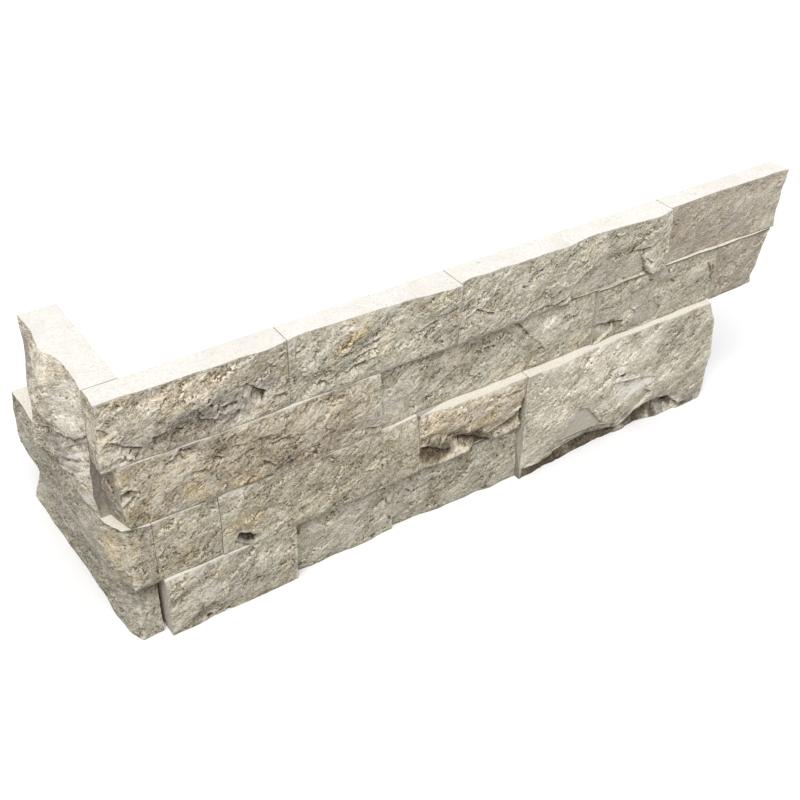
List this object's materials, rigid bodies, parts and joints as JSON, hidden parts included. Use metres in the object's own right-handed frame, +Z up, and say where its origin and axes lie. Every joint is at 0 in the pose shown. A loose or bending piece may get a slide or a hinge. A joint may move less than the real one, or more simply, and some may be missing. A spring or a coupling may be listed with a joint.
{
  "type": "stone cladding corner piece",
  "caption": "L-shaped corner of split-face ledge stone: sawn stone strips of uneven length and thickness, resin-bonded in courses that step at both ends to interlock with flat panels.",
  "frame": {"origin": "inner corner at the base, where the planes of the two flat backs meet", "axes": "+X along the long arm, away from the corner; +Y along the short return, away from the corner and into the wall side; +Z up through the courses"},
  "size_m": [0.4561, 0.1456, 0.1524],
  "materials": {
    "stone_taupe": "natural split face, sawn backs and beds",
    "stone_brown": "natural split face, brown tinge, sawn backs and beds",
    "stone_ochre": "natural split face with ochre staining, sawn backs and beds",
    "stone_grey": "natural split face, greyer, sawn backs and beds",
    "resin": "cured brown stone adhesive"
  },
  "bodies": {
    "root": {"top_stone_2": "stone_taupe", "top_stone_3": "stone_taupe", "upper_stone_2": "stone_taupe", "upper_stone_3": "stone_taupe", "lower_stone_2": "stone_taupe", "base_stone_2": "stone_taupe", "base_stone_3": "stone_taupe", "tall_stone": "stone_taupe", "top_stone_4": "stone_brown", "upper_stone_4": "stone_brown", "top_stone_1": "stone_ochre", "upper_stone_1": "stone_ochre", "lower_stone_3": "stone_ochre", "return_tall_stone": "stone_ochre", "lower_stone_1": "stone_grey", "base_stone_1": "stone_grey", "return_lower_stone": "stone_grey", "return_base_stone": "stone_grey", "top_joint_1": "resin", "top_joint_2": "resin", "top_joint_3": "resin", "upper_joint_1": "resin", "upper_joint_2": "resin", "upper_joint_3": "resin", "lower_joint_1": "resin", "lower_joint_2": "resin", "base_joint_1": "resin", "base_joint_2": "resin", "tall_joint": "resin", "lower_corner_joint": "resin", "base_corner_joint": "resin", "tall_corner_joint": "resin", "top_bed": "resin", "upper_bed": "resin", "lower_bed": "resin", "return_upper_bed": "resin", "return_lower_bed": "resin"}
  },
  "joints": []
}
